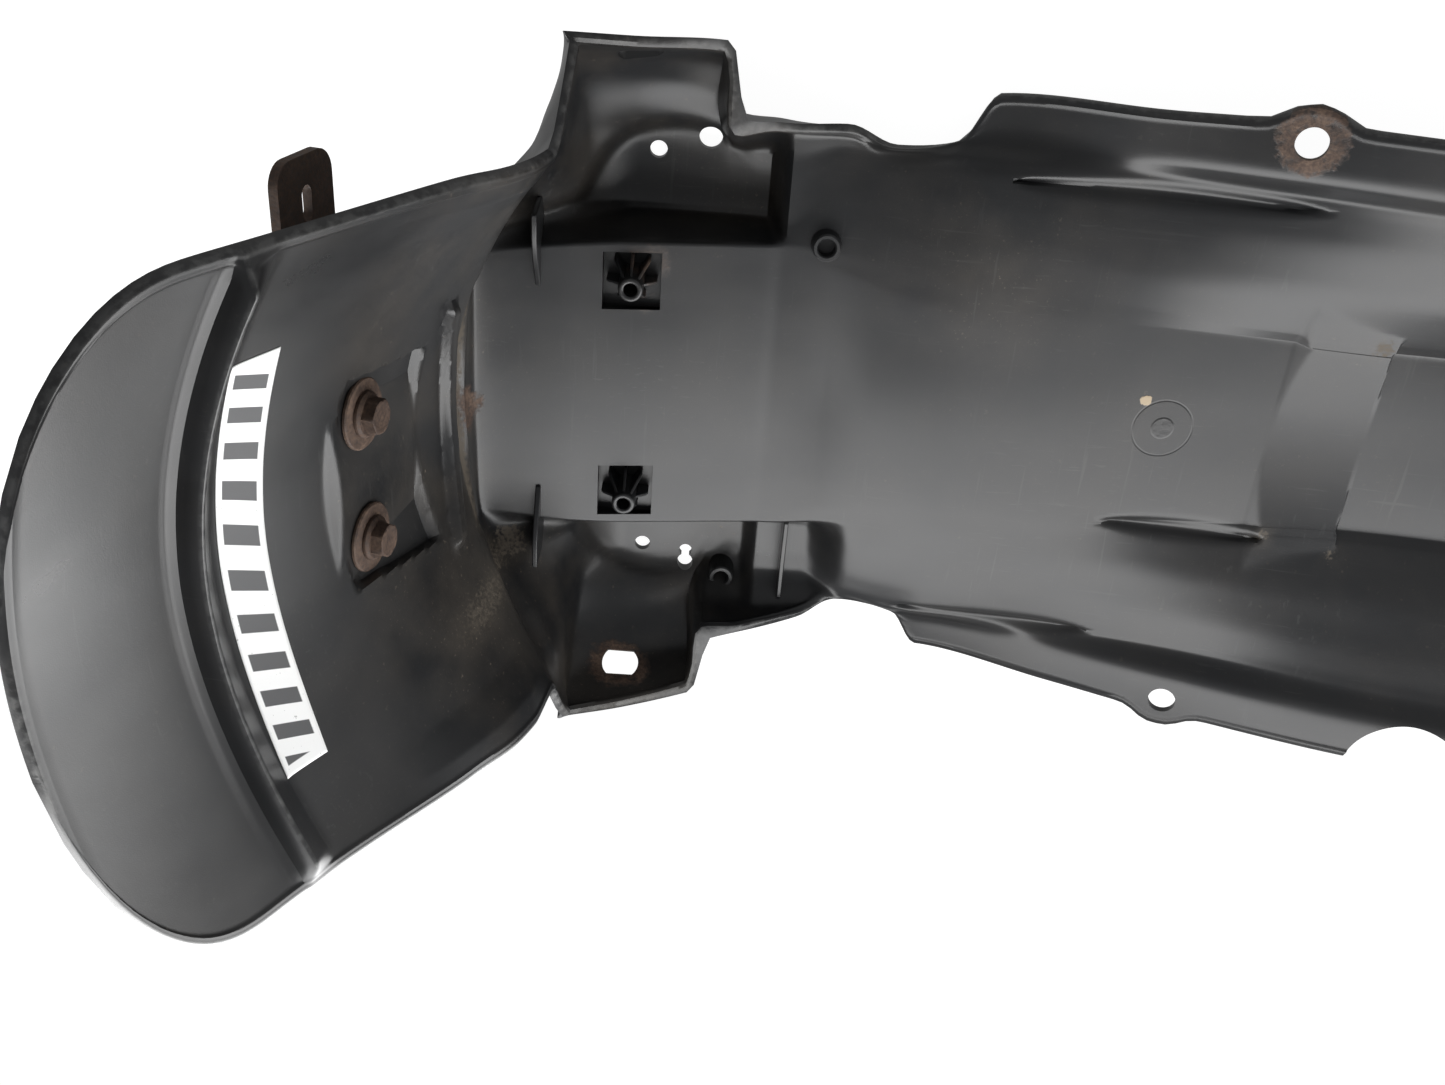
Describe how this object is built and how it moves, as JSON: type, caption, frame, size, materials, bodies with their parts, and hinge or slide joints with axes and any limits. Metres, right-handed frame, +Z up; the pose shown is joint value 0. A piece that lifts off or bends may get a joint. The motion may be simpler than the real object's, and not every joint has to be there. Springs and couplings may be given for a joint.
{
  "type": "motorcycle rear fender",
  "caption": "Moulded rear fender with a scoop tail, ribbed bosses, gutters, wings and fixing flanges, and a slotted steel strip bolted behind it",
  "frame": {"origin": "centre of the underside of the bounding box, on the ground", "axes": "+X towards the front of the motorcycle, +Y to the side with the round gutter hole, +Z up with the wheel side on top, as the part lies in the picture"},
  "size_m": [0.4346, 0.2464, 0.2474],
  "materials": {
    "black_plastic": "satin",
    "rusty_strip": "rusty",
    "bolt_steel": "rusty",
    "white_film": "satin"
  },
  "bodies": {
    "root": {"fender": "black_plastic", "strip": "rusty_strip", "bolts": "bolt_steel", "washers": "rusty_strip", "nuts": "bolt_steel", "decal": "white_film"}
  },
  "joints": []
}
